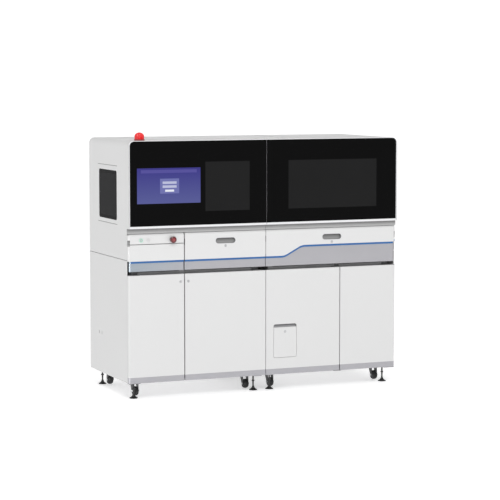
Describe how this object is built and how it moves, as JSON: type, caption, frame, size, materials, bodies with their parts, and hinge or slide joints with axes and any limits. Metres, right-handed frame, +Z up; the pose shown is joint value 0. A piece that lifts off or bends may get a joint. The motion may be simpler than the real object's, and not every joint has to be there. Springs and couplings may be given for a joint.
{
  "type": "nucleic acid extractor",
  "caption": "Floor-standing automated nucleic acid extractor with two modules, lift-up black glass fronts, drawers, doors, levelling feet and casters.",
  "frame": {"origin": "on the floor under the middle of the bounding box, at the joint between the two modules", "axes": "+X to the right along the front, +Y towards the back panel, +Z up"},
  "size_m": [1.8, 0.768, 1.6165],
  "materials": {
    "white_paint": "satin",
    "white_aluminium": "painted satin",
    "white_plastic": "satin",
    "grey_plastic": "matte",
    "dark_plastic": "matte",
    "red_plastic": "gloss",
    "screen_plastic": "gloss",
    "wheel_plastic": "satin",
    "black_glass": "gloss",
    "smoked_glass": "gloss",
    "frame_steel": "satin",
    "black_steel": "satin",
    "zinc_steel": "satin",
    "aluminium_plate": "satin"
  },
  "bodies": {
    "machine": {"base_frame_left": "frame_steel", "base_frame_right": "frame_steel", "side_panel_left": "white_paint", "side_panel_right": "white_paint", "back_panel_left": "white_paint", "back_panel_right": "white_paint", "housing_left": "white_paint", "housing_right": "white_paint", "side_windows": "smoked_glass", "ledge_strips": "grey_plastic", "control_fascia": "white_plastic", "panel_bezels": "dark_plastic", "beacon": "red_plastic", "drawer_rails": "zinc_steel", "hinge_brackets": "zinc_steel", "caster_plates": "zinc_steel", "levelling_feet": "black_steel", "deck_plates": "aluminium_plate", "gantry_rail": "aluminium_plate", "labware": "white_plastic", "extraction_tower": "aluminium_plate", "power_unit": "dark_plastic", "waste_bin": "grey_plastic"},
    "lid_left": {"lid_frame_left": "white_aluminium", "lid_glass_left": "black_glass", "touchscreen": "screen_plastic"},
    "lid_right": {"lid_frame_right": "white_aluminium", "lid_glass_right": "black_glass"},
    "door_1": {"door_narrow_left": "white_paint"},
    "door_2": {"door_wide_left": "white_paint"},
    "door_3": {"door_wide_right": "white_paint"},
    "door_4": {"door_narrow_right": "white_paint"},
    "flap": {"waste_flap": "white_plastic"},
    "drawer_left": {"drawer_front_left": "white_plastic", "drawer_box_left": "zinc_steel"},
    "drawer_right": {"drawer_front_right": "white_plastic", "drawer_box_right": "zinc_steel"},
    "stop_button": {"estop_button": "red_plastic"},
    "start_button": {"power_button": "white_plastic"},
    "bridge": {"gantry_bridge": "aluminium_plate"},
    "carriage": {"y_carriage": "dark_plastic"},
    "pipettor": {"pipette_head": "white_plastic"},
    "sleeves": {"sleeve_head": "white_plastic"},
    "magnets": {"magnet_head": "aluminium_plate"},
    "fork_1": {"caster_fork_1": "black_steel"},
    "wheel_1": {"caster_wheel_1": "wheel_plastic"},
    "fork_2": {"caster_fork_2": "black_steel"},
    "wheel_2": {"caster_wheel_2": "wheel_plastic"},
    "fork_3": {"caster_fork_3": "black_steel"},
    "wheel_3": {"caster_wheel_3": "wheel_plastic"},
    "fork_4": {"caster_fork_4": "black_steel"},
    "wheel_4": {"caster_wheel_4": "wheel_plastic"},
    "fork_5": {"caster_fork_5": "black_steel"},
    "wheel_5": {"caster_wheel_5": "wheel_plastic"},
    "fork_6": {"caster_fork_6": "black_steel"},
    "wheel_6": {"caster_wheel_6": "wheel_plastic"},
    "fork_7": {"caster_fork_7": "black_steel"},
    "wheel_7": {"caster_wheel_7": "wheel_plastic"},
    "fork_8": {"caster_fork_8": "black_steel"},
    "wheel_8": {"caster_wheel_8": "wheel_plastic"}
  },
  "joints": [
    {"name": "lid_left_lift", "type": "hinge", "parent": "machine", "child": "lid_left", "pos_m": [-0.45, -0.356, 1.5585], "axis": [-1, 0, 0], "range_deg": [0, 85]},
    {"name": "lid_right_lift", "type": "hinge", "parent": "machine", "child": "lid_right", "pos_m": [0.45, -0.356, 1.5585], "axis": [-1, 0, 0], "range_deg": [0, 85]},
    {"name": "door_1_swing", "type": "hinge", "parent": "machine", "child": "door_1", "pos_m": [-0.89, -0.341, 0.43], "axis": [0, 0, -1], "range_deg": [0, 110]},
    {"name": "door_2_swing", "type": "hinge", "parent": "machine", "child": "door_2", "pos_m": [-0.032, -0.341, 0.43], "axis": [0, 0, 1], "range_deg": [0, 90]},
    {"name": "door_3_swing", "type": "hinge", "parent": "machine", "child": "door_3", "pos_m": [0.4753, -0.341, 0.43], "axis": [0, 0, 1], "range_deg": [0, 90]},
    {"name": "door_4_swing", "type": "hinge", "parent": "machine", "child": "door_4", "pos_m": [0.89, -0.341, 0.43], "axis": [0, 0, 1], "range_deg": [0, 110]},
    {"name": "flap_tilt", "type": "hinge", "parent": "door_3", "child": "flap", "pos_m": [0.13155, -0.345, 0.2203], "axis": [1, 0, 0], "range_deg": [0, 45]},
    {"name": "drawer_left_slide", "type": "slide", "parent": "machine", "child": "drawer_left", "axis": [0, -1, 0], "range_m": [0, 0.38]},
    {"name": "drawer_right_slide", "type": "slide", "parent": "machine", "child": "drawer_right", "axis": [0, -1, 0], "range_m": [0, 0.38]},
    {"name": "stop_press", "type": "slide", "parent": "machine", "child": "stop_button", "axis": [0, 1, 0], "range_m": [0, 0.006]},
    {"name": "start_press", "type": "slide", "parent": "machine", "child": "start_button", "axis": [0, 1, 0], "range_m": [0, 0.0025], "stiffness_N_per_m": 500},
    {"name": "bridge_travel", "type": "slide", "parent": "machine", "child": "bridge", "axis": [1, 0, 0], "range_m": [-0.13, 1.05]},
    {"name": "carriage_travel", "type": "slide", "parent": "bridge", "child": "carriage", "axis": [0, 1, 0], "range_m": [-0.1, 0.28]},
    {"name": "pipettor_lower", "type": "slide", "parent": "carriage", "child": "pipettor", "axis": [0, 0, -1], "range_m": [0, 0.1]},
    {"name": "sleeves_lower", "type": "slide", "parent": "machine", "child": "sleeves", "axis": [0, 0, -1], "range_m": [0, 0.085]},
    {"name": "magnets_lower", "type": "slide", "parent": "sleeves", "child": "magnets", "axis": [0, 0, -1], "range_m": [-0.03, 0.022]},
    {"name": "caster_1_swivel", "type": "hinge", "parent": "machine", "child": "fork_1", "pos_m": [-0.085, -0.203, 0.0977], "axis": [0, 0, 1], "continuous": true},
    {"name": "caster_1_roll", "type": "hinge", "parent": "fork_1", "child": "wheel_1", "pos_m": [-0.085, -0.221, 0.0345], "axis": [1, 0, 0], "continuous": true},
    {"name": "caster_2_swivel", "type": "hinge", "parent": "machine", "child": "fork_2", "pos_m": [-0.085, 0.236, 0.0977], "axis": [0, 0, 1], "continuous": true},
    {"name": "caster_2_roll", "type": "hinge", "parent": "fork_2", "child": "wheel_2", "pos_m": [-0.085, 0.254, 0.0345], "axis": [1, 0, 0], "continuous": true},
    {"name": "caster_3_swivel", "type": "hinge", "parent": "machine", "child": "fork_3", "pos_m": [-0.815, -0.203, 0.0977], "axis": [0, 0, 1], "continuous": true},
    {"name": "caster_3_roll", "type": "hinge", "parent": "fork_3", "child": "wheel_3", "pos_m": [-0.815, -0.221, 0.0345], "axis": [1, 0, 0], "continuous": true},
    {"name": "caster_4_swivel", "type": "hinge", "parent": "machine", "child": "fork_4", "pos_m": [-0.815, 0.236, 0.0977], "axis": [0, 0, 1], "continuous": true},
    {"name": "caster_4_roll", "type": "hinge", "parent": "fork_4", "child": "wheel_4", "pos_m": [-0.815, 0.254, 0.0345], "axis": [1, 0, 0], "continuous": true},
    {"name": "caster_5_swivel", "type": "hinge", "parent": "machine", "child": "fork_5", "pos_m": [0.085, -0.203, 0.0977], "axis": [0, 0, 1], "continuous": true},
    {"name": "caster_5_roll", "type": "hinge", "parent": "fork_5", "child": "wheel_5", "pos_m": [0.085, -0.221, 0.0345], "axis": [1, 0, 0], "continuous": true},
    {"name": "caster_6_swivel", "type": "hinge", "parent": "machine", "child": "fork_6", "pos_m": [0.085, 0.236, 0.0977], "axis": [0, 0, 1], "continuous": true},
    {"name": "caster_6_roll", "type": "hinge", "parent": "fork_6", "child": "wheel_6", "pos_m": [0.085, 0.254, 0.0345], "axis": [1, 0, 0], "continuous": true},
    {"name": "caster_7_swivel", "type": "hinge", "parent": "machine", "child": "fork_7", "pos_m": [0.815, -0.203, 0.0977], "axis": [0, 0, 1], "continuous": true},
    {"name": "caster_7_roll", "type": "hinge", "parent": "fork_7", "child": "wheel_7", "pos_m": [0.815, -0.221, 0.0345], "axis": [1, 0, 0], "continuous": true},
    {"name": "caster_8_swivel", "type": "hinge", "parent": "machine", "child": "fork_8", "pos_m": [0.815, 0.236, 0.0977], "axis": [0, 0, 1], "continuous": true},
    {"name": "caster_8_roll", "type": "hinge", "parent": "fork_8", "child": "wheel_8", "pos_m": [0.815, 0.254, 0.0345], "axis": [1, 0, 0], "continuous": true}
  ]
}
